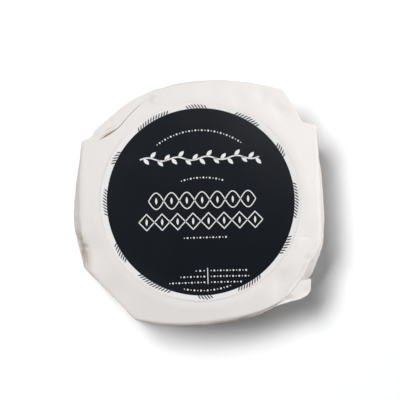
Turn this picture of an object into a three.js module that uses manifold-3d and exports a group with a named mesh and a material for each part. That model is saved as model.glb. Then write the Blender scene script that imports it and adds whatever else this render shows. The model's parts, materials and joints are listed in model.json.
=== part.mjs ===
// A round soft cheese in its shop wrapping: one sheet of white paper folded over the wheel like a
// parcel, and a round paper label stuck on the flat top. The paper is closed all round, so the
// parcel is one solid. Millimetres, +Z up. The label is read from the front, which is -Y.
import * as THREE from "three";
import { mergeVertices } from "three/addons/utils/BufferGeometryUtils.js";
import Module from "manifold-3d";

// Driving dimensions, in millimetres.
const HEIGHT = 36; // from the table to the flat top
const LABEL_DIAMETER = 90;
const LABEL_THICKNESS = 0.3;
const LABEL_SEGMENTS = 120;
const LABEL_MARGIN = 0.5; // of flat paper beyond the label
const CHEESE_RADIUS = 53.5; // the paper where it is pulled tight over the rim of the wheel
const RIM_START = 47.6; // here the flat top starts to slope down
const RIM_DROP = 1.6; // how far the paper has come down at CHEESE_RADIUS
const STAND_OFF_SLOPE = 0.35; // how fast it goes on down where it stands off the wheel
const RIM_ROUNDING = 2;
const TIGHT_ROUNDING = 2.2; // of the top fold where the paper hugs the wheel
const CREASED_ROUNDING = 1; // of the top fold where it stands off and is creased
const SOFT_FOLDS = [
  { place: 7.4, reach: 1.5, more: 1.8 }, // a stretch where the top fold is rounder
  { place: 11.4, reach: 0.7, more: -0.6 }, // and one where it is sharper
];
const SKIRT_HEIGHT = 2.6; // where the walls are widest, just over the table
const SKIRT_ROUNDING = 2;
const FOOT_INSET = 3.2; // from the widest line in to where the paper lies on the table
const CORNER_SOFTNESS = 0.6; // half the length over which a corner of an outline is rounded
const SOFT_CORNERS = [
  { place: 3, reach: 0.12, times: 4 }, // a corner rounded over as many times that length
  { place: 4, reach: 0.3, times: 7 },
  { place: 8, reach: 0.12, times: 4 },
];
const STEP_ROUND = 2.6; // between the sections of the paper
const OUTLINE_POINTS = 3000; // that an outline is sampled at before its corners are rounded
const LAYER_ROOT = 0.8; // how deep a folded layer reaches into the parcel
const LAYER_ROWS = 5;
const LAYER_COLUMNS_PER_WALL = 20;
const UNDERSIDE_LAYER = 0.4; // each flap under the parcel lies this much higher than the one over it

// The paper's walls, counterclockwise from the front end of the right one. Each has the corner
// that it starts from on the top fold and on the skirt, its widest line, and how far the middle
// of those two edges and of the wall between them bows out.
const WALLS = [
  { part: "right", top: [54.6, -18.6], skirt: [58, -18], bow: [0, 2.3, 0.5] },
  { part: "right end", top: [52.9, 35.6], skirt: [53.5, 31], bow: [0, 0, -1] },
  { part: "back right gusset", top: [46.3, 36.9], skirt: [46.3, 35], bow: [0.5, 0.5, -1.5] },
  { part: "back", top: [37.8, 52], skirt: [34, 47.5], bow: [4.1, 6, 0.5] },
  { part: "back left gusset", top: [-23.7, 50.9], skirt: [-24, 50], bow: [1.1, 1, -1] },
  { part: "left end", top: [-50.6, 29.6], skirt: [-50, 28], bow: [0, 0, -0.5] },
  { part: "left", top: [-54.3, 28.3], skirt: [-57.4, 23], bow: [0.2, 1.2, 0.4] },
  { part: "left crumple", top: [-54.6, -14], skirt: [-59.9, -13], bow: [0, 0, -0.8] },
  { part: "front left gusset", top: [-53.3, -29.2], skirt: [-55.8, -28.5], bow: [0.4, 0.1, -0.8] },
  { part: "front", top: [-29.8, -53.4], skirt: [-30.5, -53.6], bow: [3.7, 3.3, 0.2] },
  { part: "front right gusset", top: [27.7, -49.4], skirt: [27, -51.4], bow: [3.6, 2.5, -1.5] },
  { part: "right flare", top: [49.4, -27.4], skirt: [52.5, -32.6], bow: [0.4, 0.3, 0] },
];

// A place on the paper is [round, down]. Round counts the walls, and down these five lines.
const LABEL_EDGE = 0;
const FOLD = 2;
const WAIST = 3;
const FOOT = 4;
const BEND = 0.25; // down from the line to the end of its bend, at each side
const DOWN_STEPS = [0, 0.75, 1, 1.25, 1.75, 1.87, 2, 2.13, 2.25, 2.38, 2.5, 2.62, 2.75, 3, 3.25, 4];

// Shallow dents in the top round the label, where the soft wheel has given way.
const DENTS = [
  { at: [36, 41.5], reach: 4.5, depth: 1.1 },
  { at: [27, 50], reach: 2.5, depth: 0.5 },
  { at: [-22, 46], reach: 4, depth: 0.6 },
  { at: [4, 50.5], reach: 5, depth: 0.5 },
  { at: [47, -14], reach: 5, depth: 0.5 },
  { at: [36, -35], reach: 6, depth: 0.7 },
  { at: [-49.5, -22], reach: 6, depth: 1.2 },
  { at: [-38, -41], reach: 6, depth: 0.6 },
];

const wasm = await Module();
wasm.setup();

const bowedEdge = (start, end, bow) => {
  const lean = (2 * bow) / Math.hypot(end[0] - start[0], end[1] - start[1]);
  const x = (start[0] + end[0]) / 2 + (end[1] - start[1]) * lean;
  const y = (start[1] + end[1]) / 2 - (end[0] - start[0]) * lean;
  return new THREE.QuadraticBezierCurve(
    new THREE.Vector2(...start),
    new THREE.Vector2(x, y),
    new THREE.Vector2(...end),
  );
};

// An outline with its corners rounded by a moving average, as a function of the place round.
function softOutline(line, bowIndex) {
  const path = new THREE.Path();
  path.curves = WALLS.map((wall, i) =>
    bowedEdge(wall[line], WALLS[(i + 1) % WALLS.length][line], wall.bow[bowIndex]),
  );
  const ends = [0, ...path.getCurveLengths()];
  const points = path.getSpacedPoints(OUTLINE_POINTS).slice(0, OUTLINE_POINTS);
  const perMillimetre = OUTLINE_POINTS / path.getLength();
  return (round) => {
    const at = THREE.MathUtils.euclideanModulo(round, WALLS.length);
    const wider = SOFT_CORNERS.reduce((sum, { place, reach, times }) => {
      const off = (at - place) / reach;
      return sum + (times - 1) * Math.exp(-off * off);
    }, 1);
    const reach = Math.round(CORNER_SOFTNESS * wider * perMillimetre);
    const wall = Math.floor(at);
    const along = THREE.MathUtils.lerp(ends[wall], ends[wall + 1], at - wall);
    const middle = Math.round(along * perMillimetre);
    const mean = new THREE.Vector2();
    for (let k = -reach; k <= reach; k++)
      mean.add(points[(middle + k + OUTLINE_POINTS) % OUTLINE_POINTS]);
    return mean.divideScalar(2 * reach + 1);
  };
}

const topFold = softOutline("top", 0);
const skirt = softOutline("skirt", 1);

const dentDepth = (point) =>
  DENTS.reduce((sum, { at, reach, depth }) => {
    const away = Math.hypot(point.x - at[0], point.y - at[1]) / reach;
    return sum + depth * Math.exp(-away * away);
  }, 0);

const onCircle = (point, radius) => point.clone().setLength(radius);
const raised = (point, height) => new THREE.Vector3(point.x, point.y, height);

// The paper's course from the label down over the rim and the wall and under, at one place round:
// its five lines and how much the bend at each is rounded.
function course(round) {
  const fold = topFold(round);
  const waist = skirt(round);
  const standOff = fold.length() - CHEESE_RADIUS;
  const foldHeight = HEIGHT - RIM_DROP - STAND_OFF_SLOPE * standOff;
  const rounder = SOFT_FOLDS.reduce((sum, { place, reach, more }) => {
    const off = (round - place) / reach;
    return sum + more * Math.exp(-(off ** 4));
  }, 0);
  return {
    lines: [
      raised(onCircle(fold, LABEL_DIAMETER / 2 + LABEL_MARGIN), HEIGHT),
      raised(onCircle(fold, RIM_START), HEIGHT),
      raised(fold, foldHeight),
      raised(waist, SKIRT_HEIGHT),
      raised(onCircle(waist, waist.length() - FOOT_INSET), 0),
    ],
    roundings: [
      0,
      RIM_ROUNDING,
      rounder + Math.max(CREASED_ROUNDING, TIGHT_ROUNDING - 0.5 * Math.abs(standOff)),
      SKIRT_ROUNDING,
      0,
    ],
  };
}

function pointOnCourse({ lines, roundings }, down) {
  const bendEnd = (line, towards) =>
    lines[towards].clone().sub(lines[line]).setLength(roundings[line]).add(lines[line]);
  const line = Math.round(down);
  const past = down - line;
  if (Math.abs(past) <= BEND && line > LABEL_EDGE && line < FOOT) {
    const bend = [bendEnd(line, line - 1), lines[line], bendEnd(line, line + 1)];
    return new THREE.QuadraticBezierCurve3(...bend).getPoint(0.5 + (0.5 * past) / BEND);
  }
  const from = Math.min(Math.floor(down), FOOT - 1);
  const startsAt = from === LABEL_EDGE ? 0 : BEND;
  const endsAt = from + 1 === FOOT ? 1 : 1 - BEND;
  const share = (down - from - startsAt) / (endsAt - startsAt);
  return bendEnd(from, from + 1).lerp(bendEnd(from + 1, from), share);
}

// A point of the paper, moved out by a lift along the normal, which a small step each way gives.
function paperPoint(round, down, lift = 0) {
  const here = course(round);
  const point = pointOnCourse(here, down);
  const wall = WALLS[Math.floor(THREE.MathUtils.euclideanModulo(round, WALLS.length))];
  if (down > FOLD && down < WAIST) {
    const middle = Math.sin(Math.PI * (down - FOLD)) * Math.sin(Math.PI * (round % 1));
    const outward = onCircle(new THREE.Vector2(point.x, point.y), wall.bow[2] * middle);
    point.add(raised(outward, 0));
  }
  point.z -= dentDepth(point) * THREE.MathUtils.smoothstep(down, 0.5, 1.2) * (down < WAIST ? 1 : 0);
  if (lift === 0) return point;
  const step = 0.05;
  const before = pointOnCourse(here, Math.max(LABEL_EDGE, down - step));
  const after = pointOnCourse(here, Math.min(FOOT, down + step));
  const beside = pointOnCourse(course(round + step), down).sub(pointOnCourse(here, down));
  const normal = after.sub(before).cross(beside).normalize();
  return point.addScaledVector(normal, lift);
}

// A closed mesh from a grid of points: rows that close on themselves, with flat ends.
function loft(rows) {
  const count = rows[0].length;
  const position = rows.flat().flatMap((p) => p.toArray());
  const index = [];
  for (let r = 0; r + 1 < rows.length; r++)
    for (let i = 0; i < count; i++) {
      const a = r * count + i;
      const b = r * count + ((i + 1) % count);
      index.push(a, a + count, b, b, a + count, b + count);
    }
  const cap = (row, start, flip) => {
    const flat = row.map((p) => new THREE.Vector2(p.x, p.y));
    for (const [a, b, c] of THREE.ShapeUtils.triangulateShape(flat, []))
      index.push(start + a, start + (flip ? c : b), start + (flip ? b : c));
  };
  cap(rows[0], 0, false);
  cap(rows[rows.length - 1], (rows.length - 1) * count, true);
  const geometry = new THREE.BufferGeometry();
  geometry.setAttribute("position", new THREE.Float32BufferAttribute(position, 3));
  geometry.setIndex(index);
  return geometry;
}

// The parcel without its loose layers.
function parcelGeometry() {
  const places = [];
  WALLS.forEach((wall, i) => {
    const next = WALLS[(i + 1) % WALLS.length];
    const length = bowedEdge(wall.top, next.top, wall.bow[0]).getLength();
    const steps = Math.max(2, Math.round(length / STEP_ROUND));
    const nearCorner = CORNER_SOFTNESS / length;
    for (let k = 0; k < steps; k++) {
      const share = k / steps;
      places.push(i + share);
      if (k === 0) places.push(i + nearCorner);
    }
    places.push(i + 1 - nearCorner);
  });
  return loft(DOWN_STEPS.map((down) => places.map((round) => paperPoint(round, down))));
}

function solidOf(geometry) {
  const bare = geometry.index ? geometry.toNonIndexed() : geometry.clone();
  bare.deleteAttribute("normal");
  bare.deleteAttribute("uv");
  const merged = mergeVertices(bare, 1e-4);
  const index = merged.index.array;
  const kept = [];
  for (let i = 0; i < index.length; i += 3) {
    const [a, b, c] = index.slice(i, i + 3);
    if (a !== b && b !== c && c !== a) kept.push(a, b, c);
  }
  return new wasm.Manifold(
    new wasm.Mesh({
      numProp: 3,
      vertProperties: merged.attributes.position.array,
      triVerts: new Uint32Array(kept),
    }),
  );
}

function geometryOf(solid) {
  const { vertProperties, triVerts } = solid.getMesh();
  const geometry = new THREE.BufferGeometry();
  geometry.setAttribute("position", new THREE.BufferAttribute(vertProperties, 3));
  geometry.setIndex(new THREE.BufferAttribute(triVerts, 1));
  return geometry;
}

// A closed slab between two equal grids of points, the upper and the lower.
function slabGeometry(upper, lower) {
  const rows = upper.length;
  const columns = upper[0].length;
  const position = [...upper.flat(), ...lower.flat()].flatMap((p) => p.toArray());
  const index = [];
  const at = (row, column) => row * columns + column;
  const face = (a, b, c, d) => index.push(a, b, c, a, c, d);
  const under = rows * columns;
  for (let r = 0; r + 1 < rows; r++)
    for (let c = 0; c + 1 < columns; c++) {
      const corners = [at(r, c), at(r + 1, c), at(r + 1, c + 1), at(r, c + 1)];
      face(...corners);
      face(...corners.map((corner) => corner + under).reverse());
    }
  const side = (a, b) => face(a, b, b + under, a + under);
  for (let r = 0; r + 1 < rows; r++) {
    side(at(r + 1, 0), at(r, 0));
    side(at(r, columns - 1), at(r + 1, columns - 1));
  }
  for (let c = 0; c + 1 < columns; c++) {
    side(at(0, c), at(0, c + 1));
    side(at(rows - 1, c + 1), at(rows - 1, c));
  }
  const geometry = new THREE.BufferGeometry();
  geometry.setAttribute("position", new THREE.Float32BufferAttribute(position, 3));
  geometry.setIndex(index);
  return geometry;
}

const pointGrid = (rows, columns, pointAt) =>
  Array.from({ length: rows + 1 }, (_, row) =>
    Array.from({ length: columns + 1 }, (_, column) => pointAt(row / rows, column / columns)),
  );

// A folded layer that lies on the paper: from its root to its tip, which are places round, between
// an upper and a lower edge, and lifted by an amount that goes with the share from root to tip and
// from the upper edge to the lower.
function layer({ root, tip, upper, lower, lift }) {
  const columns = Math.max(LAYER_COLUMNS_PER_WALL / 2, LAYER_COLUMNS_PER_WALL * Math.abs(tip - root));
  const grid = (liftAt) =>
    pointGrid(LAYER_ROWS, Math.round(columns), (lowered, across) => {
      const share = root < tip ? across : 1 - across;
      const down = THREE.MathUtils.lerp(upper(share), lower, lowered);
      return paperPoint(THREE.MathUtils.lerp(root, tip, share), down, liftAt(share, lowered));
    });
  return slabGeometry(
    grid(lift),
    grid(() => -LAYER_ROOT),
  );
}

// A triangle folded against a wall: its root is at a corner and its long edge runs down to the tip.
// It stands off the wall along that edge, and its lower edge sinks in.
const triangle = (root, tip, standOff) => ({
  root,
  tip,
  upper: (share) => THREE.MathUtils.lerp(2.2, 2.9, share),
  lower: 3.24,
  lift: (share, lowered) => {
    const offRoot = Math.min(1, 3 * share);
    const sunk = 0.25 * (1 - offRoot + lowered ** 4);
    return standOff * offRoot * (1 - share ** 3) * (1 - lowered) - sunk;
  },
});

// The pleat that comes up over the top fold at the back left and lies on the top as a long lens.
const PLEAT = { root: 4.03, tip: 4.99, deepest: 4.65, lift: 0.75, lip: 0.45, lipAt: 4.79 };

function pleatUpper(share) {
  const past = THREE.MathUtils.lerp(PLEAT.root, PLEAT.tip, share) - PLEAT.deepest;
  return 1.245 + 0.74 * Math.hypot(past, 0.1) + 0.16 * past;
}

function pleatLift(share, lowered) {
  const { smoothstep, lerp } = THREE.MathUtils;
  const fromLip = (lerp(PLEAT.root, PLEAT.tip, share) - PLEAT.lipAt) / 0.16;
  const lip = PLEAT.lip * Math.exp(-fromLip * fromLip) * (1 - lowered) ** 3;
  const atEnds = smoothstep(share, 0, 0.3) * (1 - smoothstep(share, 0.88, 1));
  const standing = (PLEAT.lift + lip) * atEnds * (1 - smoothstep(lowered, 0.55, 1));
  return standing - 0.3 * smoothstep(lowered, 0.6, 1) - 0.1 * (1 - atEnds);
}

const LAYERS = [
  { root: PLEAT.root, tip: PLEAT.tip, upper: pleatUpper, lower: 2.35, lift: pleatLift },
  triangle(2, 2.95, 0.9),
  triangle(5, 4.1, 0.9),
  triangle(9, 8.1, 0.3),
  triangle(10, 9.6, 0.35),
];

// The loose ear of the front right gusset, a doubled sheet: its upper side goes on from the top
// fold to the free edge, and its lower side runs back to the wall, lowest at its middle.
const EAR_PLACES = [10.02, 10.77];
const EAR_HEIGHT = 0.38; // of its mouth on the wall at the middle, in lines down
const EAR_COLUMNS = 30;
const EAR_ROOT_DEPTH = [1.5, 5]; // of the upper side and of the lower one
const EAR_THICKNESS = 0.9; // at the free edge
const EAR_SAG = 0.7;
const EAR_EDGE = [
  [24.0, -50.2, 31.4],
  [28.4, -49.7, 31.2],
  [33.0, -47.4, 31.4],
  [37.0, -46.1, 31.9],
  [41.1, -44.9, 31.8],
  [45.2, -43.9, 31.7],
  [48.2, -42.2, 31.7],
  [49.7, -40.1, 31.8],
  [49.9, -35, 32],
  [46.6, -34.6, 32.8],
];

function earGeometry() {
  const edge = new THREE.CurvePath();
  EAR_EDGE.slice(1).forEach((p, i) => {
    edge.add(new THREE.LineCurve3(new THREE.Vector3(...EAR_EDGE[i]), new THREE.Vector3(...p)));
  });
  const grid = (downAt, depth, height) =>
    pointGrid(LAYER_ROWS, EAR_COLUMNS, (out, along) => {
      const place = THREE.MathUtils.lerp(...EAR_PLACES, along);
      const free = edge.getPoint(along).add(new THREE.Vector3(0, 0, height));
      const onPaper = paperPoint(place, downAt(along));
      const inward = onCircle(new THREE.Vector2(onPaper.x, onPaper.y), -depth);
      const point = onPaper.add(raised(inward, 0)).lerp(free, out);
      point.z -= EAR_SAG * Math.sin(Math.PI * out);
      return point;
    });
  const mouth = (along) => FOLD + 0.06 + EAR_HEIGHT * Math.sin(Math.PI * along) ** 0.7;
  return slabGeometry(
    grid(() => FOLD, EAR_ROOT_DEPTH[0], 0),
    grid(mouth, EAR_ROOT_DEPTH[1], -EAR_THICKNESS),
  );
}

// What the flaps under the parcel leave bare, as outlines in plan: the back flap is folded over
// last and lies on the table, the front one is a layer higher and the two at the sides another.
const BACK_FLAP = [
  [-37, 60],
  [-24, -20],
  [-17, -27],
  [19, -27],
  [26, -20],
  [40, 60],
];
const FRONT_FLAP = [
  [-38, -60],
  [-20, 12],
  [22, 12],
  [37, -60],
];

const EVERYWHERE = [
  [-99, -99],
  [99, -99],
  [99, 99],
  [-99, 99],
];

// An outline in plan made a solid, from well under the table up to a height.
function prism(outline, height) {
  const shape = new THREE.Shape(outline.map((p) => new THREE.Vector2(...p)));
  const below = 5;
  return new THREE.ExtrudeGeometry(shape, { depth: below + height, bevelEnabled: false })
    .translate(0, 0, -below);
}

function wrapperGeometry() {
  const pieces = [parcelGeometry(), ...LAYERS.map(layer), earGeometry()];
  const parcel = pieces.map(solidOf).reduce((sum, piece) => sum.add(piece));
  const backFlap = solidOf(prism(BACK_FLAP, 1));
  const frontFlap = solidOf(prism(FRONT_FLAP, 1));
  const besideBack = solidOf(prism(EVERYWHERE, UNDERSIDE_LAYER)).subtract(backFlap);
  const besideBoth = solidOf(prism(EVERYWHERE, 2 * UNDERSIDE_LAYER))
    .subtract(backFlap)
    .subtract(frontFlap);
  return geometryOf(parcel.subtract(besideBack).subtract(besideBoth));
}

function labelGeometry() {
  const radius = LABEL_DIAMETER / 2;
  return new THREE.CylinderGeometry(radius, radius, LABEL_THICKNESS, LABEL_SEGMENTS)
    .rotateX(Math.PI / 2)
    .translate(0, 0, LABEL_THICKNESS / 2);
}

const paper = new THREE.MeshStandardMaterial({ color: 0xe8e4e1, roughness: 0.75, metalness: 0 });
const print = new THREE.MeshStandardMaterial({ color: 0x23262a, roughness: 0.5, metalness: 0 });

const wrapper = new THREE.Mesh(wrapperGeometry(), paper);
wrapper.name = "wrapper";

const label = new THREE.Mesh(labelGeometry(), print);
label.name = "label";
label.position.z = HEIGHT;

// The origin is on the table, under the middle of the parcel's bounding box.
const cheese = new THREE.Group();
cheese.add(wrapper, label);
const middle = new THREE.Box3().setFromObject(cheese).getCenter(new THREE.Vector3());
cheese.position.set(-middle.x, -middle.y, 0);

export default cheese;
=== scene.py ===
import functools
import json
import math

import bmesh
import bpy
import numpy as np
from mathutils import Matrix, Vector, noise
from mathutils.geometry import intersect_point_line

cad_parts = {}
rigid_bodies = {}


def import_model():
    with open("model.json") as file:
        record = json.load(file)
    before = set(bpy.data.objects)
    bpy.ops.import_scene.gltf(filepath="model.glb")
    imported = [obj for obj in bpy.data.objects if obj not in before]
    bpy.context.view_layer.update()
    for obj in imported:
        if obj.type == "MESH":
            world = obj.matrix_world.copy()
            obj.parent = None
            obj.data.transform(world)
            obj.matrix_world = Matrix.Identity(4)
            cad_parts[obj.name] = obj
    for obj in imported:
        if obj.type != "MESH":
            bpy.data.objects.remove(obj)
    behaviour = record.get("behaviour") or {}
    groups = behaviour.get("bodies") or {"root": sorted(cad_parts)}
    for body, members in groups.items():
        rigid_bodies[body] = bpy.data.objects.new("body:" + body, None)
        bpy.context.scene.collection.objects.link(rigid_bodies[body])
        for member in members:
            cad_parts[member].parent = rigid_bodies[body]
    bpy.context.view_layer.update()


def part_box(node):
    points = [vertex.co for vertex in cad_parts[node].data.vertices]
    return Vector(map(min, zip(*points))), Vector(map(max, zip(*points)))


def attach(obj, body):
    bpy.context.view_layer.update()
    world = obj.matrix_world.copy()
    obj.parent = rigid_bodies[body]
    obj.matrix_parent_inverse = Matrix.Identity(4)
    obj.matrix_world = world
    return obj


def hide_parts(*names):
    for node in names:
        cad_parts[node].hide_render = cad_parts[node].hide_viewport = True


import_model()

# The wrapping is one sheet of paper folded over the wheel like a parcel. It is flat under the
# label, bent over the rim, pressed down the side in panels with a gusset between each two, and
# tucked underneath. Sizes are millimetres from the label's middle, with the table at height 0.
label_low, label_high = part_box("label")
LABEL_RADIUS = 500 * (label_high.x - label_low.x)
TOP_HEIGHT = 1000 * label_low.z
TO_METRES = Matrix.Translation(
    ((label_low.x + label_high.x) / 2, (label_low.y + label_high.y) / 2, 0)
) @ Matrix.Scale(0.001, 4)

LABEL_MARGIN = 0.5  # of flat paper beyond the label
CHEESE_RADIUS = 53.5  # the paper where it is pulled tight over the rim of the wheel
RIM_START = 47.6  # here the flat top starts to slope down
RIM_DROP = 1.6  # how far the paper has come down at CHEESE_RADIUS
STAND_OFF_SLOPE = 0.35  # how fast it goes on down where it stands off the wheel
RIM_ROUNDING = 2
TIGHT_ROUNDING = 2.2  # of the top fold where the paper hugs the wheel
CREASED_ROUNDING = 1  # of the top fold where it stands off and is creased
ROUNDING_LOSS = 0.5  # for each millimetre that the top fold stands off
SOFT_FOLDS = [(7.4, 1.5, 1.8), (11.4, 0.7, -0.6)]  # place, reach and how much rounder
SKIRT_HEIGHT = 2.6  # where the walls are widest, just over the table
SKIRT_ROUNDING = 2
FOOT_INSET = 3.2  # from the widest line in to where the paper lies on the table
CORNER_SOFTNESS = 0.6  # half the length over which a corner of an outline is rounded
SOFT_CORNERS = [(3, 0.12, 4), (4, 0.3, 7), (8, 0.12, 4)]  # place, reach, how many times as soft
OUTLINE_STEPS = 60  # along each wall
CORNER_SAMPLES = 21  # of an outline, that are averaged to round its corners

# The walls, counterclockwise from the front end of the right one. Each has the corner that it
# starts from on the top fold and on the skirt, and how far the middles of its top edge, of its
# skirt and of the paper between them bow out.
WALLS = [
    {"top": (54.6, -18.6), "skirt": (58, -18), "bow": (0, 2.3, 0.5)},  # right
    {"top": (52.9, 35.6), "skirt": (53.5, 31), "bow": (0, 0, -1)},  # right end
    {"top": (46.3, 36.9), "skirt": (46.3, 35), "bow": (0.5, 0.5, -1.5)},  # back right gusset
    {"top": (37.8, 52), "skirt": (34, 47.5), "bow": (4.1, 6, 0.5)},  # back
    {"top": (-23.7, 50.9), "skirt": (-24, 50), "bow": (1.1, 1, -1)},  # back left gusset
    {"top": (-50.6, 29.6), "skirt": (-50, 28), "bow": (0, 0, -0.5)},  # left end
    {"top": (-54.3, 28.3), "skirt": (-57.4, 23), "bow": (0.2, 1.2, 0.4)},  # left
    {"top": (-54.6, -14), "skirt": (-59.9, -13), "bow": (-0.3, 0, -2.2)},  # left crumple
    {"top": (-53.3, -29.2), "skirt": (-55.8, -28.5), "bow": (0.4, 0.1, -0.8)},  # front left gusset
    {"top": (-29.8, -53.4), "skirt": (-30.5, -53.6), "bow": (3.7, 3.3, 0.2)},  # front
    {"top": (27.7, -49.4), "skirt": (27, -51.4), "bow": (3.6, 2.5, -1.5)},  # front right gusset
    {"top": (49.4, -27.4), "skirt": (52.5, -32.6), "bow": (0.4, 0.3, 0)},  # right flare
]

# Shallow dents in the top round the label, where the soft wheel has given way: middle, reach and
# depth.
DENTS = [
    ((33.6, 43.8), 2.6, 0.8),
    ((36.8, 40.8), 3.2, 1.4),
    ((28, 49), 3, 1.0),
    ((17, 46.5), 4, 0.7),
    ((-22, 46), 4, 0.6),
    ((-21.3, 46.7), 1.8, 0.9),
    ((4, 50.5), 5, 0.5),
    ((47, -14), 5, 0.5),
    ((36, -35), 6, 0.7),
    ((-49.5, -22), 6, 1.2),
    ((-38, -41), 6, 0.6),
]

# Creases pressed into the top: start, end, half the width and the depth, negative for a ridge.
CREASES = [
    ((-37.4, 34.9), (-44.3, 31.8), 0.35, 0.5),
    ((-38.5, 38.5), (-41.5, 36.2), 0.4, 0.3),
    ((-57, -19), (-50.8, -21), 0.9, 1.5),
    ((-53.6, -19), (-51.4, -31), 0.8, 1.9),
    ((44.9, -16.6), (49, -15.7), 0.6, 0.3),
    ((35.9, -30.2), (34.5, -44.6), 3, 0.3),
    ((53.9, -16.5), (45.4, -34.8), 0.4, -0.9),
    ((45.8, -34), (38.5, -43.4), 0.4, -0.9),
]


def soft_outline(line, bow_index):
    """An outline through the walls' corners, its own corners rounded, as a function of the place
    round it, and the length of the outline up to each corner."""
    points = []
    for wall, following in zip(WALLS, WALLS[1:] + WALLS[:1]):
        start, end = Vector(wall[line]), Vector(following[line])
        outward = Vector((end.y - start.y, start.x - end.x)).normalized()
        # The curve comes half as far out as its control point.
        control = (start + end) / 2 + 2 * wall["bow"][bow_index] * outward
        for k in range(OUTLINE_STEPS):
            share = k / OUTLINE_STEPS
            points.append(start.lerp(control, share).lerp(control.lerp(end, share), share))
    x, y = np.array(points + points[:1]).T
    run = np.concatenate([[0], np.cumsum(np.hypot(np.diff(x), np.diff(y)))])
    corners = run[::OUTLINE_STEPS]
    softness = np.linspace(-CORNER_SOFTNESS, CORNER_SOFTNESS, CORNER_SAMPLES)

    def outline(place):
        wider = 1
        for at, reach, times in SOFT_CORNERS:
            wider += (times - 1) * math.exp(-(((place % len(WALLS) - at) / reach) ** 2))
        near = np.interp(place % len(WALLS), range(len(corners)), corners) + softness * wider
        near = near % run[-1]
        return Vector((np.interp(near, run, x).mean(), np.interp(near, run, y).mean()))

    return outline, corners


top_fold, fold_corners = soft_outline("top", 0)
skirt, _ = soft_outline("skirt", 1)

# A place on the paper is counted round by the walls, and down by these lines from the label's
# edge. Above the first and below the last the paper runs in to the middle of the top and of the
# underside.
FOLD, WAIST, FOOT = 2, 3, 4
BEND = 0.25  # down from a line to the end of its bend, at each side
SIDE_FLAP_HEIGHT = 0.8  # the flaps from the sides lie highest under the parcel


@functools.lru_cache(maxsize=None)
def course(place, foot_height):
    """The paper's lines at one place round, and how much the bend at each is rounded."""
    fold, waist = top_fold(place), skirt(place)
    stand_off = fold.length - CHEESE_RADIUS
    fold_height = TOP_HEIGHT - RIM_DROP - STAND_OFF_SLOPE * stand_off
    waist_line = waist.to_3d() + Vector((0, 0, SKIRT_HEIGHT))
    foot_line = (waist.normalized() * (waist.length - FOOT_INSET)).to_3d()
    lines = [
        (fold.normalized() * (LABEL_RADIUS + LABEL_MARGIN)).to_3d() + Vector((0, 0, TOP_HEIGHT)),
        (fold.normalized() * RIM_START).to_3d() + Vector((0, 0, TOP_HEIGHT)),
        fold.to_3d() + Vector((0, 0, fold_height)),
        waist_line,
        foot_line.lerp(waist_line, foot_height / SKIRT_HEIGHT),
    ]
    fold_rounding = max(CREASED_ROUNDING, TIGHT_ROUNDING - ROUNDING_LOSS * abs(stand_off))
    for middle, reach, softer in SOFT_FOLDS:
        fold_rounding += softer * math.exp(-(((place - middle) / reach) ** 4))
    return lines, [0, RIM_ROUNDING, fold_rounding, SKIRT_ROUNDING, 0]


def ease(value, start, end):
    """0 before the start and 1 past the end, with a smooth rise between."""
    share = min(max((value - start) / (end - start), 0), 1)
    return share * share * (3 - 2 * share)


# Upright creases in the walls, most of them beside the gussets: the place, how far it leans on the
# way down, half the width, and the depth, which is negative for a ridge.
WALL_CREASES = [
    (0.12, 0.1, 0.02, 0.3),
    (0.3, 0.12, 0.03, -0.2),
    (0.86, -0.08, 0.02, 0.6),
    (1.3, 0.1, 0.08, 0.7),
    (1.6, -0.05, 0.06, -0.5),
    (2.3, 0.1, 0.05, 0.8),
    (2.75, -0.1, 0.05, -0.5),
    (3.08, 0.05, 0.015, 0.6),
    (3.45, 0.02, 0.03, -0.35),
    (3.9, -0.05, 0.02, 0.7),
    (4.4, 0.1, 0.03, 0.6),
    (5.3, 0.1, 0.08, 0.7),
    (5.7, -0.1, 0.08, -0.4),
    (6.1, 0.05, 0.02, 0.5),
    (6.8, -0.03, 0.04, -0.3),
    (7.03, 0.05, 0.08, 0.8),
    (7.2, 0.1, 0.06, 0.5),
    (7.5, 0.2, 0.08, -0.5),
    (7.75, 0.1, 0.06, 0.6),
    (8.3, 0.1, 0.04, 0.7),
    (8.7, -0.1, 0.05, 0.5),
    (9.1, 0.06, 0.015, 0.5),
    (9.55, -0.04, 0.02, -0.35),
    (10.3, 0.2, 0.05, 0.8),
    (10.7, -0.1, 0.05, 0.7),
    (11.5, 0.1, 0.08, 0.25),
]
FADES_IN, FADES_OUT = 0.25, 0.45  # lines down, at the walls' upper and lower ends
WALL_CREASE_SHAPE = 1.4  # 1 is a sharp fold, 2 a soft one


def wall_crease(place, down):
    """How deep the upright creases are at a place on the walls."""
    fade = ease(down, FOLD, FOLD + FADES_IN) * (1 - ease(down, WAIST - FADES_OUT, WAIST))
    depth = 0
    for middle, lean, half_width, deepest in WALL_CREASES:
        away = (place % len(WALLS)) - middle - lean * (down - (FOLD + WAIST) / 2)
        depth += deepest * math.exp(-abs(away / half_width) ** WALL_CREASE_SHAPE)
    return depth * fade


CREASE_FULLNESS = 0.6  # under 1, so that a crease keeps its depth until close to its ends


def pressed_in(point):
    """How deep the dents and creases of the top are at a point in plan."""
    depth = 0
    for middle, reach, deepest in DENTS:
        depth += deepest * math.exp(-((point - Vector(middle)).length_squared) / reach**2)
    for start, end, half_width, deepest in CREASES:
        nearest, share = intersect_point_line(point, start, end)
        run_out = math.sin(math.pi * min(max(share, 0), 1)) ** CREASE_FULLNESS
        away = (point - nearest.xy).length / half_width
        depth += deepest * run_out * math.exp(-(away**2))
    return depth


TOP_PRESSED = (0.5, 1.2)  # lines down, between which the dents and creases of the top set in


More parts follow.
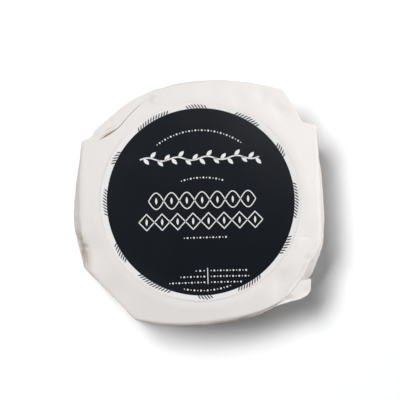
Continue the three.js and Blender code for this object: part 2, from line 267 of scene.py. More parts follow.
def smooth_paper(place, down, foot_height):
    """A point of the paper without its crinkles."""
    lines, roundings = course(place, foot_height)
    if down < 0:
        return lines[0].lerp(Vector((0, 0, TOP_HEIGHT)), -down)
    if down > FOOT:
        return lines[FOOT].lerp(Vector((0, 0, foot_height)), down - FOOT)

    def bend_end(line, towards):
        return lines[line] + (lines[towards] - lines[line]).normalized() * roundings[line]

    line = round(down)
    past = down - line
    if abs(past) <= BEND and 0 < line < FOOT:
        share = 0.5 + 0.5 * past / BEND
        first = bend_end(line, line - 1).lerp(lines[line], share)
        point = first.lerp(lines[line].lerp(bend_end(line, line + 1), share), share)
    else:
        above = min(int(down), FOOT - 1)
        starts_at = BEND if above > 0 else 0
        ends_at = 1 - BEND if above + 1 < FOOT else 1
        share = (down - above - starts_at) / (ends_at - starts_at)
        point = bend_end(above, above + 1).lerp(bend_end(above + 1, above), share)
    if FOLD < down < WAIST:
        bow = WALLS[int(place % len(WALLS))]["bow"][2]
        out = bow * math.sin(math.pi * (down - FOLD)) * math.sin(math.pi * (place % 1))
        out -= wall_crease(place, down)
        point = point + point.xy.normalized().to_3d() * out
    if TOP_PRESSED[0] < down < WAIST:
        point = point - Vector((0, 0, pressed_in(point.xy) * ease(down, *TOP_PRESSED)))
    return point


BROAD_WAVE = 15  # millimetres across, where the paper isn't pulled tight
BROAD_DEPTH, BROAD_ON_TOP, BROAD_ON_WALL = 0.3, 0.6, 0.65  # the depth, and its share in each
SMALL_CREASE = 8
SMALL_DEPTH, SMALL_ON_TOP, SMALL_ON_WALL = 0.45, 0.15, 0.92
TINY_CREASES = (0.4, 2.3)  # as a share of a small one's depth, and how many times as fine
STRETCHED_UP = 0.4  # the share to which heights are squeezed, so that creases stand upright
APART = Vector((7, 3, 5))  # keeps the small creases from repeating the broad waves
TOP_CRINKLES = ((0.3, 1.6), (3.0, 3.6))  # the lines down over which they set in and die out
WALL_CRINKLES = ((2.05, 2.4), (3.0, 3.5))  # the same, for what the walls have besides


def crinkle(point, down):
    """How far the paper stands off its smooth course: broad waves, and small sharp folds."""
    on_top, on_wall = (
        ease(down, *sets_in) * (1 - ease(down, *dies_out))
        for sets_in, dies_out in (TOP_CRINKLES, WALL_CRINKLES)
    )
    broad = noise.noise(point / BROAD_WAVE)
    upright = Vector((point.x, point.y, point.z * STRETCHED_UP))
    sharp = 0.5 - abs(noise.noise(upright / SMALL_CREASE + APART))
    tiny_depth, finer = TINY_CREASES
    sharp += tiny_depth * (0.5 - abs(noise.noise(upright / SMALL_CREASE * finer)))
    waves = BROAD_DEPTH * broad * (BROAD_ON_TOP * on_top + BROAD_ON_WALL * on_wall)
    return waves + SMALL_DEPTH * sharp * (SMALL_ON_TOP * on_top + SMALL_ON_WALL * on_wall)


def paper(place, down, lift=0.0, foot_height=SIDE_FLAP_HEIGHT):
    """A point of the crinkled paper, or of a layer that lies on it at a lift."""
    step = 0.04  # to the neighbouring points that give the direction in which the paper faces
    point = smooth_paper(place, down, foot_height)
    if down <= 0 or down >= FOOT:
        side = 1 if down <= 0 else -1
        return point + Vector((0, 0, side * lift))
    after = smooth_paper(place, min(down + step, FOOT), foot_height)
    before = smooth_paper(place, max(down - step, 0), foot_height)
    beside = smooth_paper(place + step, down, foot_height) - point
    normal = (after - before).cross(beside).normalized()
    return point + normal * (lift + crinkle(point, down))


COLUMNS = 640
ROW_SPANS = [  # from one line down to another, and how many rows of faces lie between
    (-1, 0, 4),
    (0, 0.75, 12),
    (0.75, 1.25, 8),
    (1.25, 1.75, 8),
    (1.75, 2.25, 16),
    (2.25, 2.75, 52),
    (2.75, 3.25, 14),
    (3.25, 4, 4),
    (4, 5, 8),
]
rows = [a + (b - a) * k / steps for a, b, steps in ROW_SPANS for k in range(steps)] + [5]
places = np.interp(
    np.linspace(0, fold_corners[-1], COLUMNS + 1), fold_corners, range(len(fold_corners))
)

shape = bmesh.new()
bmesh.ops.create_grid(shape, x_segments=COLUMNS, y_segments=len(rows) - 1, size=0.5)
for vertex in shape.verts:
    column = round((vertex.co.x + 0.5) * COLUMNS)
    row = round((vertex.co.y + 0.5) * (len(rows) - 1))
    vertex.co = paper(float(places[column % COLUMNS]), rows[row])
bmesh.ops.remove_doubles(shape, verts=shape.verts, dist=0.0005)


def finish(shape, name, material, sharp_degrees=50):
    """Makes a shape in millimetres a finished piece in metres, in its place."""
    bmesh.ops.transform(shape, matrix=TO_METRES, verts=shape.verts)
    bmesh.ops.recalc_face_normals(shape, faces=shape.faces)
    mesh = bpy.data.meshes.new(name)
    shape.to_mesh(mesh)
    shape.free()
    mesh.shade_smooth()
    mesh.set_sharp_from_angle(angle=math.radians(sharp_degrees))
    mesh.materials.append(material)
    piece = bpy.data.objects.new(name, mesh)
    bpy.context.scene.collection.objects.link(piece)
    return piece


def linear(hex_colour):
    """An sRGB hex colour as the linear colour that a shader takes."""
    parts = [int(hex_colour[k : k + 2], 16) / 255 for k in (1, 3, 5)]
    return [p / 12.92 if p <= 0.04045 else ((p + 0.055) / 1.055) ** 2.4 for p in parts] + [1]


def add_node(tree, kind, settings=(), **inputs):
    """Adds a node. Settings are its properties. Inputs are values or other nodes' outputs, each by
    its socket's name, or by its number after an underscore."""
    node = tree.nodes.new(kind)
    for key, value in dict(settings).items():
        setattr(node, key, value)
    for key, value in inputs.items():
        socket = node.inputs[int(key[1:])] if key[0] == "_" else node.inputs[key.replace("_", " ")]
        if isinstance(value, bpy.types.NodeSocket):
            tree.links.new(value, socket)
        else:
            socket.default_value = value
    return node


def new_material(name):
    """An empty material: its node tree, and the shader that the tree ends in."""
    material = bpy.data.materials.new(name)
    material.use_nodes = True
    tree = material.node_tree
    return material, tree, tree.nodes["Principled BSDF"]


def per_millimetre(size):
    """The scale of a pattern on object coordinates, which are metres, for a size in millimetres."""
    return 1000 / size


# Bleached greaseproof paper, pressed smooth in the mill: matt, a slightly warm white, a little
# cloudy where the fibres lie thicker, with a fine fibre grain and the faint lines of handling. Two
# of its deepest folds carry painted shade: a browner, darker colour where the shade falls.
PAPER_LIGHT = "#DEDAD7"
PAPER_CLOUDY = "#DAD5D1"
CLOUD = 9
FIBRE = 0.5  # drawn ten times as coarse as the real fibres, so that it shows
HANDLED = 6  # from one faint line to the next
greaseproof, tree, shader = new_material("greaseproof_paper")
where = add_node(tree, "ShaderNodeTexCoord").outputs["Object"]
clouds = add_node(tree, "ShaderNodeTexNoise", Vector=where, Scale=per_millimetre(CLOUD), Detail=3.0)
tint = add_node(
    tree,
    "ShaderNodeMix",
    {"data_type": "RGBA"},
    Factor=clouds.outputs["Fac"],
    _6=linear(PAPER_LIGHT),
    _7=linear(PAPER_CLOUDY),
)
colour = tint.outputs[2]
# Painted shade: the crevice under the pleat's lip and the crumple at the front left are painted
# browner and darker, as the shade between the layers would make them.
PAINTED_FOLD_SHADE = [  # each with its colour, middle, the way it runs, and reach along, across and up
    ("#AB9D8C", (-54.2, -22.8, 20), -73, (13, 6, 60)),
    ("#C6B7A5", (-42, 30.9, 35), 30, (6, 1.4, 5)),
]
for fold_shade_colour, middle, degrees, reach in PAINTED_FOLD_SHADE:
    off_middle = add_node(
        tree,
        "ShaderNodeMapping",
        {"vector_type": "TEXTURE"},
        Vector=where,
        Location=TO_METRES @ Vector(middle),
        Rotation=(0, 0, math.radians(degrees)),
        Scale=Vector(reach) / 1000,
    )
    away = add_node(tree, "ShaderNodeVectorMath", {"operation": "LENGTH"}, _0=off_middle.outputs[0])
    amount = add_node(
        tree,
        "ShaderNodeMapRange",
        {"interpolation_type": "SMOOTHSTEP"},
        Value=away.outputs["Value"],
        To_Min=1.0,
        To_Max=0.0,
    )
    fold_shade_mix = add_node(
        tree,
        "ShaderNodeMix",
        {"data_type": "RGBA"},
        Factor=amount.outputs[0],
        _6=colour,
        _7=linear(fold_shade_colour),
    )
    colour = fold_shade_mix.outputs[2]
tree.links.new(colour, shader.inputs["Base Color"])
fibres = add_node(
    tree, "ShaderNodeTexNoise", Vector=where, Scale=per_millimetre(FIBRE), Detail=4.0
)
lines = add_node(
    tree,
    "ShaderNodeTexVoronoi",
    {"feature": "DISTANCE_TO_EDGE"},
    Vector=where,
    Scale=per_millimetre(HANDLED),
)
LINE_HALF_WIDTH = 0.04  # as a share of HANDLED
line_shape = add_node(
    tree,
    "ShaderNodeMath",
    {"operation": "MINIMUM"},
    _0=lines.outputs[0],
    _1=LINE_HALF_WIDTH,
)
fibre_bump = add_node(
    tree, "ShaderNodeBump", Height=fibres.outputs["Fac"], Strength=0.25, Distance=0.00004
)
line_bump = add_node(
    tree,
    "ShaderNodeBump",
    Height=line_shape.outputs[0],
    Normal=fibre_bump.outputs[0],
    Strength=0.3,
    Distance=0.0008,
)
tree.links.new(line_bump.outputs[0], shader.inputs["Normal"])
shader.inputs["Roughness"].default_value = 0.62
shader.inputs["Specular IOR Level"].default_value = 0.3

wrapping = finish(shape, "wrapping", greaseproof)
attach(wrapping, "root")
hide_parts("wrapper")

# The folds of the gussets are triangles of the same paper, pressed flat on the wall beside them.
# Each hangs from a corner of the top fold, and its free long edge runs down to the skirt.
PAPER_THICKNESS = 0.16  # drawn thicker than the 0.06 mm of the real paper, so that edges show


def thickened(shape, thickness):
    """Closes an open sheet by a second face, at a thickness behind the first."""
    shape.normal_update()
    behind = {vertex.co.copy().freeze(): vertex.normal * thickness for vertex in shape.verts}
    made = bmesh.ops.extrude_face_region(shape, geom=shape.faces[:])
    for part in made["geom"]:
        if isinstance(part, bmesh.types.BMVert):
            part.co -= behind[part.co.copy().freeze()]
    return shape


def sheet(rows, columns, point_at):
    """A thin closed sheet laid through a grid of points, which point_at(across, down) gives."""
    shape = bmesh.new()
    bmesh.ops.create_grid(shape, x_segments=columns, y_segments=rows, size=0.5)
    for vertex in shape.verts:
        vertex.co = point_at(vertex.co.x + 0.5, vertex.co.y + 0.5)
    bmesh.ops.remove_doubles(shape, verts=shape.verts, dist=0.005)
    return thickened(shape, PAPER_THICKNESS)


def between(start, end, share):
    return start + (end - start) * share


GUSSET_FOLDS = {  # the places round of the corner and of the tip, and how far the edge stands off
    "back_right_fold": (2, 2.95, 0.9),
    "back_left_fold": (5, 4.1, 0.9),
    "front_left_fold": (9, 8.1, 0.3),
    "front_fold": (10, 9.6, 0.35),
}
FREE_EDGE = (2.2, 2.9)  # lines down, at the corner and at the tip
LOWER_EDGE = 3.24  # behind the skirt
TUCKED_IN = 0.25  # how deep a hidden edge lies in the paper
PER_WIDTH = 3  # the fold comes free of the paper over a third of its width
for name, (root, tip, stands_off) in GUSSET_FOLDS.items():

    def gusset_fold(across, down):
        off_root = min(1, PER_WIDTH * across)
        lift = stands_off * off_root * (1 - across**3) * (1 - down)
        lift -= TUCKED_IN * (1 - off_root) + TUCKED_IN * down**4
        line = between(between(*FREE_EDGE, across), LOWER_EDGE, down)
        return paper(between(root, tip, across), line, lift)

    fold = finish(sheet(24, 60, gusset_fold), name, greaseproof)
    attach(fold, "root")
    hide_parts("wrapper")

# At the back left a deep pleat comes up over the top fold and lies on the top as a long lens of
# paper. Its inner edge stands off a little, most at its lower end.
PLEAT_ROOT, PLEAT_TIP = 4.03, 4.99
PLEAT_DEEPEST = 4.65  # the place where its inner edge comes nearest to the label
PLEAT_INNER = 1.245  # lines down of the two straight lines of that edge, where they would meet
PLEAT_SLOPE, PLEAT_SKEW, PLEAT_BEND = 0.74, 0.16, 0.1  # of the lines, and the bend between them
PLEAT_OUTER = 2.35
PLEAT_LIFT = 0.25
PLEAT_FLAT = 0.5  # more, behind the edge
PLEAT_LIP = 0.45  # more, where the edge stands off most
PLEAT_LIP_AT, PLEAT_LIP_REACH = 4.79, 0.16
PLEAT_OPENS, PLEAT_CLOSES = 0.3, 0.88  # the shares of its length between which it lies free
PLEAT_FLAT_AT = (0.1, 0.5)  # the shares of its width between which PLEAT_FLAT sets in
PLEAT_SINKS = 0.55  # the share of its width from which it runs down into the paper
PLEAT_HIDDEN = (0.3, 0.1)  # how deep its outer edge and its ends lie in the paper
PLEAT_HIDDEN_FROM = 0.6  # the share of its width


def pleat_point(across, down):
    place = between(PLEAT_ROOT, PLEAT_TIP, across)
    past = place - PLEAT_DEEPEST
    inner = PLEAT_INNER + PLEAT_SLOPE * math.hypot(past, PLEAT_BEND) + PLEAT_SKEW * past
    lip = math.exp(-(((place - PLEAT_LIP_AT) / PLEAT_LIP_REACH) ** 2)) * (1 - down) ** 3
    free = ease(across, 0, PLEAT_OPENS) * (1 - ease(across, PLEAT_CLOSES, 1))
    lift = PLEAT_LIFT + PLEAT_LIP * lip + PLEAT_FLAT * ease(down, *PLEAT_FLAT_AT)
    lift *= free * (1 - ease(down, PLEAT_SINKS, 1))
    edge_depth, end_depth = PLEAT_HIDDEN
    tucked_in = edge_depth * ease(down, PLEAT_HIDDEN_FROM, 1) + end_depth * (1 - free)
    return paper(place, between(inner, PLEAT_OUTER, down), lift - tucked_in)


pleat = finish(sheet(24, 90, pleat_point), "back_left_pleat", greaseproof)
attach(pleat, "root")
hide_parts("wrapper")

# The gusset at the front right isn't tucked in: it sticks out over the table as a loose ear of
# doubled paper. The upper layer goes on from the top fold, and the lower one back to the wall.
EAR_PLACES = (10.02, 10.77)
EAR_MOUTH = (0.06, 0.38)  # lines down the wall from the fold, at the ends and more at the middle
EAR_MOUTH_SHAPE = 0.7  # under 1, so that it is wide open until close to its ends
EAR_ROOTS = (-0.3, -1.2)  # the lifts of the two layers where they leave the paper
EAR_SAG = 0.7
EAR_WAVES = [(0.6, 7), (0.3, 3)]  # height and width
EAR_EDGE = [
    (24.0, -50.2, 31.4),
    (28.4, -49.7, 31.2),
    (33.0, -47.4, 31.4),
    (37.0, -46.1, 31.9),
    (41.1, -44.9, 31.8),
    (45.2, -43.9, 31.7),
    (48.2, -42.2, 31.7),
    (49.7, -40.1, 31.8),
    (49.9, -35, 32),
    (46.6, -34.6, 32.8),
]
ear_edge = np.array(EAR_EDGE)
ear_run = np.concatenate([[0], np.cumsum(np.linalg.norm(np.diff(ear_edge, axis=0), axis=1))])


def ear_point(across, around):
    place = between(*EAR_PLACES, across)
    if around < 0.5:
        root = paper(place, FOLD, EAR_ROOTS[0])
    else:
        mouth = FOLD + EAR_MOUTH[0] + EAR_MOUTH[1] * math.sin(math.pi * across) ** EAR_MOUTH_SHAPE
        root = paper(place, mouth, EAR_ROOTS[1])
    edge = Vector([np.interp(across * ear_run[-1], ear_run, ear_edge[:, k]) for k in range(3)])
    out = 1 - abs(2 * around - 1)
    point = root.lerp(edge, out)
    wave = sum(height * noise.noise(point / width) for height, width in EAR_WAVES)
    return point + Vector((0, 0, wave * out - EAR_SAG * math.sin(math.pi * out)))


ear = finish(sheet(64, 90, ear_point), "front_right_ear", greaseproof)
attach(ear, "root")
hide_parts("wrapper")

# Under the parcel the front flap is folded in over the two from the sides, and the back flap over
# it, with cut-off corners. They lie flat under the wheel's weight.
FLAP_START = 2.85  # lines down, inside the wall
FLAP_TURN = 0.3  # the share of a flap that comes down the wall and round the foot
FLAP_CLEARANCE = 0.02  # over the table
FLAP_LIFTS = (-0.3, 0.1)  # inside the wall, and round the foot
FLAP_SINKS = 3.7  # lines down, where it starts to come down to the table
CROSSING_STEP, CROSSING_STEPS = 0.002, 150  # of the search to each side of a guess
BACK_FLAP = {  # "near" holds the places round at which its sides cross the foot, as guesses
    "height": 0.0,
    "outer": ((-37, 60), (40, 60)),
    "free": [(-24, -20), (-17, -27), (19, -27), (26, -20)],
    "near": (4.4, 2.6),
}
FRONT_FLAP = {
    "height": 0.4,
    "outer": ((-38, -60), (37, -60)),
    "free": [(-20, 12), (22, 12)],
    "near": (8.8, 10.2),
}


def foot_crossing(start, end, near, height):
    """The place round, near a guess, where the foot of the paper crosses a flap's side."""
    direction = Vector(end) - Vector(start)
    normal = Vector((direction.y, -direction.x)).normalized()
    steps = range(-CROSSING_STEPS, CROSSING_STEPS + 1)
    nearby = [near + CROSSING_STEP * k for k in steps]
    feet = [smooth_paper(place, FOOT, height).xy for place in nearby]
    return min(zip(nearby, feet), key=lambda pair: abs((pair[1] - Vector(start)).dot(normal)))[0]


for name, flap in {"back_flap": BACK_FLAP, "front_flap": FRONT_FLAP}.items():
    height = flap["height"]
    free = np.array(flap["free"], float)
    free_run = np.concatenate([[0], np.cumsum(np.linalg.norm(np.diff(free, axis=0), axis=1))])
    left = foot_crossing(flap["outer"][0], flap["free"][0], flap["near"][0], height)
    right = foot_crossing(flap["outer"][1], flap["free"][-1], flap["near"][1], height)

    def flap_point(across, out):
        place = between(left, right, across)
        if out < FLAP_TURN:
            down = between(FLAP_START, FOOT, out / FLAP_TURN)
            lift = between(*FLAP_LIFTS, min(1, 2 * out / FLAP_TURN))
            lift *= 1 - ease(down, FLAP_SINKS, FOOT)
            point = paper(place, down, lift, height)
        else:
            foot = smooth_paper(place, FOOT, height)
            edge = [np.interp(across * free_run[-1], free_run, free[:, k]) for k in (0, 1)]
            point = foot.lerp(Vector((*edge, height)), (out - FLAP_TURN) / (1 - FLAP_TURN))
        return point + Vector((0, 0, PAPER_THICKNESS / 2 + FLAP_CLEARANCE))

    piece = finish(sheet(60, 80, flap_point), name, greaseproof)
    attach(piece, "root")
    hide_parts("wrapper")

# The label is a round sticker of smooth white coated paper, stuck flat on the top. Its edge has
# come up a little at the front left.
STICKER_THICKNESS = 0.16
STICKER_SEGMENTS = 240
STICKER_RINGS = 30
LOOSE_TOWARDS = math.radians(-122)
LOOSE_FROM = 37
LOOSE_LIFT = 0.3


def label_height(x, y):
    """The height of the sticker's upper face."""
    turned = math.cos(math.atan2(y, x) - LOOSE_TOWARDS)
    loose = LOOSE_LIFT * ease(math.hypot(x, y), LOOSE_FROM, LABEL_RADIUS) * max(0, turned) ** 3
    return TOP_HEIGHT + STICKER_THICKNESS + loose


def disc(radius, rings, above, thickness):
    """A thin round sheet whose upper face lies above the sticker's."""
    shape = bmesh.new()
    bmesh.ops.create_grid(shape, x_segments=STICKER_SEGMENTS, y_segments=rings, size=0.5)
    for vertex in shape.verts:
        angle = 2 * math.pi * vertex.co.x
        out = radius * (vertex.co.y + 0.5)
        x, y = out * math.cos(angle), out * math.sin(angle)
        vertex.co = (x, y, label_height(x, y) + above)
    bmesh.ops.remove_doubles(shape, verts=shape.verts, dist=0.001)
    bmesh.ops.recalc_face_normals(shape, faces=shape.faces)
    return thickened(shape, thickness)


# Coated label paper: a neutral white, smoother than the wrapping, with a weak sheen.
label_paper, tree, shader = new_material("coated_label_paper")
where = add_node(tree, "ShaderNodeTexCoord").outputs["Object"]
grain = add_node(tree, "ShaderNodeTexNoise", Vector=where, Scale=per_millimetre(0.4), Detail=3.0)
grain_bump = add_node(
    tree, "ShaderNodeBump", Height=grain.outputs["Fac"], Strength=0.15, Distance=0.00002
)
tree.links.new(grain_bump.outputs[0], shader.inputs["Normal"])
shader.inputs["Base Color"].default_value = linear("#E4E2DF")
shader.inputs["Roughness"].default_value = 0.45
shader.inputs["Specular IOR Level"].default_value = 0.3

sticker = finish(
    disc(LABEL_RADIUS, STICKER_RINGS, 0, STICKER_THICKNESS), "label_sticker", label_paper
)
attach(sticker, "root")
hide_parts("label")

# The middle of the sticker is printed black all over, which leaves a narrow white ring.
PRINT_RADIUS = 42.5
PRINT_RINGS = 29
INK_THICKNESS = 0.02  # drawn ten times as thick as real ink, to keep the layers apart
black_ink, tree, shader = new_material("semi_matt_black_ink")
where = add_node(tree, "ShaderNodeTexCoord").outputs["Object"]
mottle = add_node(tree, "ShaderNodeTexNoise", Vector=where, Scale=per_millimetre(12), Detail=2.0)
gloss = add_node(
    tree,
    "ShaderNodeMapRange",
    Value=mottle.outputs["Fac"],
    To_Min=0.16,
    To_Max=0.2,
)
tree.links.new(gloss.outputs[0], shader.inputs["Roughness"])
shader.inputs["Base Color"].default_value = linear("#0F1319")
shader.inputs["Specular IOR Level"].default_value = 0.2

black = finish(
    disc(PRINT_RADIUS, PRINT_RINGS, INK_THICKNESS, 2 * INK_THICKNESS), "label_black", black_ink
)
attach(black, "root")
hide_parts("label")

# The black leaves a pattern of bare white paper: a garland of leaves, two bands of linked shapes,
# and rows of beads. It is drawn in that paper, a hair above the black.
PRINT_TURN = math.radians(1.75)  # the sticker is stuck on a little askew
LINE = 0.46  # the width of the bands' lines
BEAD_STEP = 1.45
BEADS = (0.5, 0.82)
LEAF_FULLNESS = 0.8  # under 1, so that a leaf is broad until close to its ends
SHORT_STEPS = 8  # along a leaf or a bead


def stroke(shape, path, width_at, steps):
    """Adds a flat line along a path, which like its width goes with the share of its length."""
    made = bmesh.ops.create_grid(shape, x_segments=steps, y_segments=1, size=0.5)
    near = 0.004
    for vertex in made["verts"]:
        share, aside = vertex.co.x + 0.5, vertex.co.y
        ahead = (path(share + near) - path(share - near)).normalized()
        vertex.co = (path(share) + Vector((-ahead.y, ahead.x)) * width_at(share) * aside).to_3d()
    bmesh.ops.remove_doubles(shape, verts=made["verts"], dist=0.001)


def leaf(shape, root, angle, length, width):
    """Adds a pointed leaf that grows from its root at an angle."""
    reach = Vector((math.cos(angle), math.sin(angle))) * length
    stroke(
        shape,
        lambda share: root + reach * share,
        lambda share: width * math.sin(math.pi * min(max(share, 0), 1)) ** LEAF_FULLNESS,
        SHORT_STEPS,
    )


def beads(shape, middle, radius, start, end):
    """Adds a row of round dots, small and large in turn, along an arc over its middle, or under it
    if the radius is negative, from one distance along the arc to another."""
    count = round((end - start) / BEAD_STEP)
    for k in range(count + 1):
        angle = math.pi / 2 - (start + (end - start) * k / count) / radius
        at = Vector(middle) + Vector((math.cos(angle), math.sin(angle))) * radius
        size = BEADS[k % 2]
        stroke(
            shape,
            lambda share: at + Vector((size * (share - 0.5), 0)),
            lambda share: size * math.sqrt(max(0, 1 - (2 * share - 1) ** 2)),
            SHORT_STEPS,
        )


def printed(shape, name, material, layer):
    """Lays flat shapes on the sticker as a layer of ink, turned as the sticker is."""
    turn = Matrix.Rotation(PRINT_TURN, 3, "Z")
    bmesh.ops.rotate(shape, verts=shape.verts, cent=(0, 0, 0), matrix=turn)
    for vertex in shape.verts:
        vertex.co.z = label_height(vertex.co.x, vertex.co.y) + layer * INK_THICKNESS
    piece = finish(thickened(shape, INK_THICKNESS), name, material)
    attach(piece, "root")
    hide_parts("label")


GARLAND = {"ends": (-27, 27), "height": 19.6, "stem": 0.6}
GARLAND_WAVE = (13.5, 0.8)  # length and height
GARLAND_LEAVES = {"count": 17, "angle": math.radians(48), "length": 3.7, "width": 1.7}


def garland_stem(share):
    x = between(*GARLAND["ends"], share)
    wave_length, wave_height = GARLAND_WAVE
    return Vector((x, GARLAND["height"] + wave_height * math.sin(2 * math.pi * x / wave_length)))


pattern = bmesh.new()
for k in range(GARLAND_LEAVES["count"]):
    root = garland_stem((k + 0.5) / GARLAND_LEAVES["count"])
    angle = GARLAND_LEAVES["angle"] * (1 if k % 2 else -1)
    leaf(pattern, root, angle, GARLAND_LEAVES["length"], GARLAND_LEAVES["width"])
stroke(pattern, garland_stem, lambda share: GARLAND["stem"], 120)

# Each band is two lines that cross from link to link: round in the upper band, straight in the
# lower one. A small leaf stands in every link.
BANDS = [
    {"height": 0.6, "ends": (-23.6, 24.9), "links": 7, "straight": False},
    {"height": -8.9, "ends": (-28.2, 27.8), "links": 8, "straight": True},
]
LINK = 3.7  # half its height
LINK_LEAF = (3.2, 1.0)  # length and width
for band in BANDS:
    left, right = band["ends"]
    for side in (-1, 1):

        def crossing(share):
            turned = math.pi * band["links"] * share
            swing = math.sin(turned)
            if band["straight"]:
                swing = math.asin(swing) / (math.pi / 2)
            return Vector((between(left, right, share), band["height"] + side * LINK * swing))

        stroke(pattern, crossing, lambda share: LINE, 40 * band["links"])
    for k in range(band["links"]):
        x = between(left, right, (k + 0.5) / band["links"])
        leaf(pattern, Vector((x, band["height"] - LINK_LEAF[0] / 2)), math.pi / 2, *LINK_LEAF)

# One row of beads lies over the garland, one under it and one under the bands. The small rows at
# the foot stand on both sides of a bar, with a curved one below them.
beads(pattern, (0, 0), 32.4, -20.3, 20.3)
beads(pattern, (0.8, -21.5), 32.3, -9.4, 9.4)
FLAT = 1000  # the radius of a row that is as good as straight
beads(pattern, (1.5, -16.4 - FLAT), FLAT, -9.4, 9.4)
SMALL_ROWS = [(-31.4, -3, 19.5), (-34, -10, 20.5), (-36.6, -15, 17)]  # height, left and right end
BAR = 2.15  # to the right of the middle
BAR_ENDS = (-37.4, -30.2)
BAR_WIDTH = 0.35
BAR_GAP = 1.6
for height, left, right in SMALL_ROWS:
    for start, end in ((left, BAR - BAR_GAP), (BAR + BAR_GAP, right)):
        beads(pattern, (0, height - FLAT), FLAT, start, end)
stroke(
    pattern,
    lambda share: Vector((BAR, between(*BAR_ENDS, share))),
    lambda share: BAR_WIDTH,
    1,
)
beads(pattern, (0, 0), -40.3, -8.6, 12.4)
printed(pattern, "label_pattern", label_paper, 3)

# Tufts of grass in a violet ink grow out over the white ring, large and small ones in turn, their
# blades all slanted the same way.
TUFTS = [12, 5, 9, 7] * 3  # the number of blades in each
BLADE_STEP = 1.35
BLADE_SLANT = math.radians(38)
BLADE = (3.1, 0.55)  # length in the middle of a tuft, and width
BLADE_ROOT = PRINT_RADIUS - 0.3
violet_ink, tree, shader = new_material("dark_violet_ink")
shader.inputs["Base Color"].default_value = linear("#1D1930")
shader.inputs["Roughness"].default_value = 0.45
shader.inputs["Specular IOR Level"].default_value = 0.2
tufts = bmesh.new()
for k, blades in enumerate(TUFTS):
    for blade in range(blades):
        off_middle = blade - (blades - 1) / 2
        angle = 2 * math.pi * k / len(TUFTS) + off_middle * BLADE_STEP / PRINT_RADIUS
        root = Vector((math.cos(angle), math.sin(angle))) * BLADE_ROOT
        slant = BLADE_SLANT * (1 if k % 2 else -1)
        length = BLADE[0] * (1 - 0.5 * abs(off_middle) / blades)
        leaf(tufts, root, angle + slant, length, BLADE[1])
printed(tufts, "label_tufts", violet_ink, 4)

# A plain white floor, which lends the piece no light of its own. A large soft lamp high at the
# back left throws the shadow. A low one from the right and a weak one from the front light the
# paper alone, and one above gives the black print its sheen.
MIDDLE = TO_METRES @ Vector((0, 0, TOP_HEIGHT))
shape = bmesh.new()
bmesh.ops.create_grid(shape, x_segments=1, y_segments=1, size=2)
mesh = bpy.data.meshes.new("floor")
shape.to_mesh(mesh)
shape.free()
floor_paint, tree, shader = new_material("white_matt_floor")
shader.inputs["Base Color"].default_value = (1, 1, 1, 1)
shader.inputs["Roughness"].default_value = 0.9
shader.inputs["Specular IOR Level"].default_value = 0.1
mesh.materials.append(floor_paint)
floor = bpy.data.objects.new("floor", mesh)
floor.visible_diffuse = False
bpy.context.scene.collection.objects.link(floor)


def soft_lamp(name, direction, distance, size, power, lights=None):
    """A lamp that faces the label's middle from a direction, and lights all or a collection. Its
    size is its width and its length."""
    lamp = bpy.data.lights.new(name, "AREA")
    lamp.shape = "RECTANGLE"
    lamp.size, lamp.size_y = size
    lamp.energy = power
    towards = Vector(direction).normalized()
    stand = bpy.data.objects.new(name, lamp)
    stand.location = MIDDLE + towards * distance
    stand.rotation_euler = towards.to_track_quat("Z", "Y").to_euler()
    stand.visible_camera = False
    stand.light_linking.receiver_collection = lights
    bpy.context.scene.collection.objects.link(stand)


paper_only = bpy.data.collections.new("paper")
for piece in bpy.context.scene.objects:
    if piece.type == "MESH" and greaseproof.name in piece.data.materials:
        paper_only.objects.link(piece)
print_only = bpy.data.collections.new("print")
print_only.objects.link(black)
soft_lamp("key", (-0.41, 0.265, 1), 8, (4.2, 2.7), 690)
soft_lamp("side", (1, 0.28, 0.11), 0.9, (0.3, 0.3), 6.4, paper_only)
soft_lamp("front", (0.6, -1, 0.08), 0.9, (0.3, 0.3), 2.1, paper_only)
soft_lamp("sheen", (0.15, 0.25, 1), 2.0, (0.3, 0.3), 3.1, print_only)

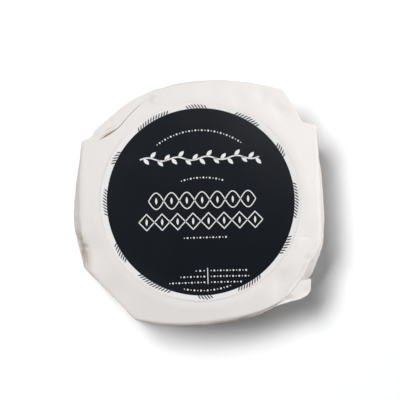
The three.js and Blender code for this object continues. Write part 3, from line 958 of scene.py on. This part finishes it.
# The surroundings are dim, with a lighter brown band just below the horizon, as over a wooden
# bench. Past the floor's edge a plain pale backdrop is seen.
SURROUNDINGS = (0.08, 0.09, 0.105, 1)
BENCH = (1.36, 1.13, 0.87, 1)
BACKDROP = (0.88, 0.89, 0.9, 1)
world = bpy.data.worlds.new("studio")
world.use_nodes = True
tree = world.node_tree
direction = add_node(tree, "ShaderNodeTexCoord").outputs["Generated"]
height = add_node(tree, "ShaderNodeSeparateXYZ", Vector=direction).outputs["Z"]
into_band = add_node(tree, "ShaderNodeMapRange", Value=height, From_Min=0, From_Max=-0.15)
out_of_band = add_node(tree, "ShaderNodeMapRange", Value=height, From_Min=-0.5, From_Max=-0.15)
in_band = add_node(
    tree,
    "ShaderNodeMath",
    {"operation": "MINIMUM"},
    _0=into_band.outputs[0],
    _1=out_of_band.outputs[0],
)
blend = add_node(
    tree,
    "ShaderNodeMix",
    {"data_type": "RGBA"},
    Factor=in_band.outputs[0],
    _6=SURROUNDINGS,
    _7=BENCH,
)
seen = add_node(
    tree,
    "ShaderNodeMix",
    {"data_type": "RGBA"},
    Factor=add_node(tree, "ShaderNodeLightPath").outputs["Is Camera Ray"],
    _6=blend.outputs[2],
    _7=BACKDROP,
)
tree.links.new(seen.outputs[2], tree.nodes["Background"].inputs["Color"])
bpy.context.scene.world = world
bpy.context.scene.view_settings.view_transform = "Standard"

# The camera is almost straight above, leant a little towards the reader. A pixel of its frame is
# as large on the label as one of the photo's, and the label's middle is in the same place.
CAMERA_DISTANCE = 0.6
CAMERA_LEAN = math.radians(4.5)
SENSOR_WIDTH = 36
PIXEL = 0.4523 / 1000
PHOTO_WIDTH = 400
LABEL_IN_PHOTO = (200.75, 201.34)
camera_data = bpy.data.cameras.new("camera")
camera_data.sensor_width = SENSOR_WIDTH
camera_data.lens = SENSOR_WIDTH * CAMERA_DISTANCE / (PIXEL * PHOTO_WIDTH)
camera = bpy.data.objects.new("camera", camera_data)
back = Vector((0, -math.sin(CAMERA_LEAN), math.cos(CAMERA_LEAN)))
up = Vector((0, math.cos(CAMERA_LEAN), math.sin(CAMERA_LEAN)))
aside = (PHOTO_WIDTH / 2 - LABEL_IN_PHOTO[0]) * PIXEL
above = (LABEL_IN_PHOTO[1] - PHOTO_WIDTH / 2) * PIXEL
camera.location = MIDDLE + Vector((aside, 0, 0)) + above * up + CAMERA_DISTANCE * back
camera.rotation_euler = back.to_track_quat("Z", "Y").to_euler()
bpy.context.scene.collection.objects.link(camera)
bpy.context.scene.camera = camera
